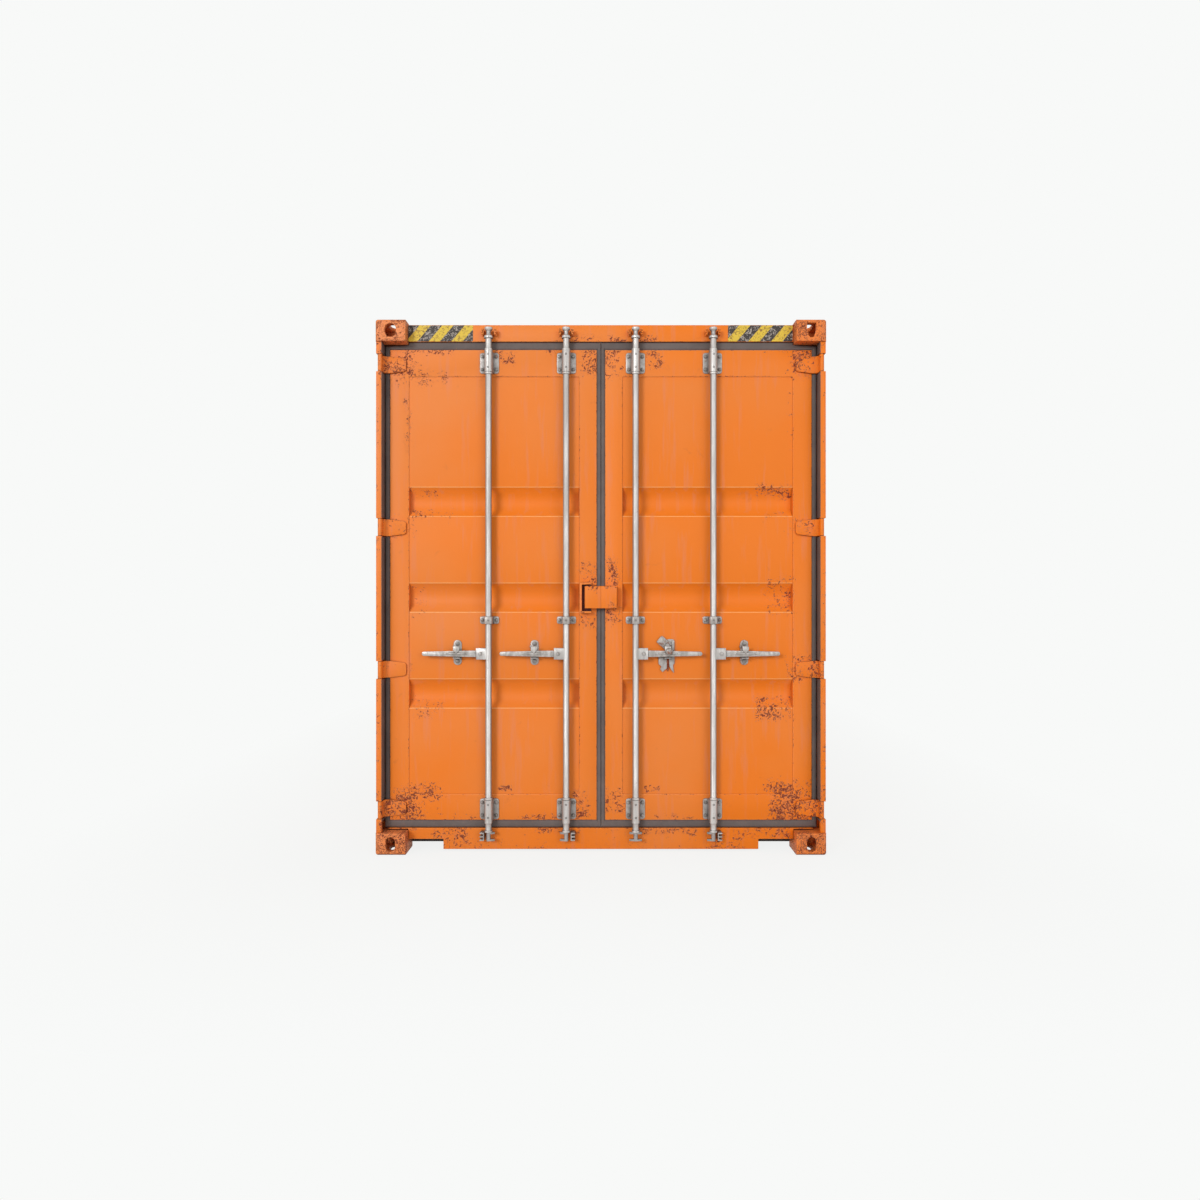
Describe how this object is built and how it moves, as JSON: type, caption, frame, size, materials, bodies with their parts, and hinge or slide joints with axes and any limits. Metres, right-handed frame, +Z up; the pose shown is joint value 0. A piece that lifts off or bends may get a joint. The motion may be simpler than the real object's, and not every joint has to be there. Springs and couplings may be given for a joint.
{
  "type": "shipping container",
  "caption": "Steel dry-freight shipping container, high-cube, with hinged end doors, lock rods with swinging handles, corrugated walls and corner castings.",
  "frame": {"origin": "on the ground under the middle of the box", "axes": "+X right as seen from the door end, +Y from the door end to the front wall, +Z up"},
  "size_m": [2.438, 6.058, 2.896],
  "materials": {
    "container_paint": "satin, rust spots",
    "casting_paint": "worn, rusty",
    "galvanised_steel": "dull galvanised",
    "gasket_rubber": "dusty matte",
    "floor_wood": "oiled plywood",
    "vent_plastic": "painted matte"
  },
  "bodies": {
    "container_box": {"door_end_castings": "casting_paint", "front_end_castings": "casting_paint", "left_door_post": "container_paint", "right_door_post": "container_paint", "front_posts": "container_paint", "door_header": "container_paint", "door_sill": "container_paint", "front_top_rail": "container_paint", "front_bottom_rail": "container_paint", "top_side_rails": "container_paint", "bottom_side_rails": "container_paint", "left_side_wall": "container_paint", "right_side_wall": "container_paint", "front_wall": "container_paint", "roof_panel": "container_paint", "wall_vents": "vent_plastic", "floor_boards": "floor_wood", "cross_members": "container_paint", "fork_pockets": "container_paint", "hinge_pins": "galvanised_steel", "cam_keepers": "galvanised_steel"},
    "left_door": {"left_door_frame": "container_paint", "left_door_panel": "container_paint", "left_door_gasket": "gasket_rubber", "left_hinge_blades": "container_paint", "left_rod_brackets": "galvanised_steel", "left_handle_retainers": "galvanised_steel", "left_lock_box": "container_paint"},
    "right_door": {"right_door_frame": "container_paint", "right_door_panel": "container_paint", "right_door_gasket": "gasket_rubber", "right_hinge_blades": "container_paint", "right_rod_brackets": "galvanised_steel", "right_handle_retainers": "galvanised_steel", "right_lock_box": "container_paint"},
    "rod_1": {"lock_rod_1": "galvanised_steel"},
    "rod_1_handle": {"handle_1": "galvanised_steel"},
    "rod_2": {"lock_rod_2": "galvanised_steel"},
    "rod_2_handle": {"handle_2": "galvanised_steel"},
    "rod_3": {"lock_rod_3": "galvanised_steel"},
    "rod_3_handle": {"handle_3": "galvanised_steel"},
    "rod_4": {"lock_rod_4": "galvanised_steel"},
    "rod_4_handle": {"handle_4": "galvanised_steel"},
    "catch": {"handle_catch": "galvanised_steel"}
  },
  "joints": [
    {"name": "left_door_swing", "type": "hinge", "parent": "container_box", "child": "left_door", "pos_m": [-1.197, -3.011, 1.4], "axis": [0, 0, -1], "range_deg": [0, 265]},
    {"name": "right_door_swing", "type": "hinge", "parent": "container_box", "child": "right_door", "pos_m": [1.197, -3.011, 1.4], "axis": [0, 0, 1], "range_deg": [0, 265]},
    {"name": "rod_1_turn", "type": "hinge", "parent": "left_door", "child": "rod_1", "pos_m": [-0.611, -2.997, 1.4], "axis": [0, 0, -1], "range_deg": [-100, 0]},
    {"name": "handle_1_lift", "type": "hinge", "parent": "rod_1", "child": "rod_1_handle", "pos_m": [-0.655, -2.997, 1.087], "axis": [0, -1, 0], "range_deg": [-25, 0]},
    {"name": "rod_2_turn", "type": "hinge", "parent": "left_door", "child": "rod_2", "pos_m": [-0.189, -2.997, 1.4], "axis": [0, 0, -1], "range_deg": [-100, 0]},
    {"name": "handle_2_lift", "type": "hinge", "parent": "rod_2", "child": "rod_2_handle", "pos_m": [-0.233, -2.997, 1.087], "axis": [0, -1, 0], "range_deg": [-25, 0]},
    {"name": "rod_3_turn", "type": "hinge", "parent": "right_door", "child": "rod_3", "pos_m": [0.189, -2.997, 1.4], "axis": [0, 0, 1], "range_deg": [-100, 0]},
    {"name": "handle_3_lift", "type": "hinge", "parent": "rod_3", "child": "rod_3_handle", "pos_m": [0.233, -2.997, 1.087], "axis": [0, 1, 0], "range_deg": [-25, 0]},
    {"name": "rod_4_turn", "type": "hinge", "parent": "right_door", "child": "rod_4", "pos_m": [0.611, -2.997, 1.4], "axis": [0, 0, 1], "range_deg": [-100, 0]},
    {"name": "handle_4_lift", "type": "hinge", "parent": "rod_4", "child": "rod_4_handle", "pos_m": [0.655, -2.997, 1.087], "axis": [0, 1, 0], "range_deg": [-25, 0]},
    {"name": "catch_swing", "type": "hinge", "parent": "right_door", "child": "catch", "pos_m": [0.364, -2.959, 1.1275], "axis": [0, -1, 0], "range_deg": [-60, 0]}
  ]
}
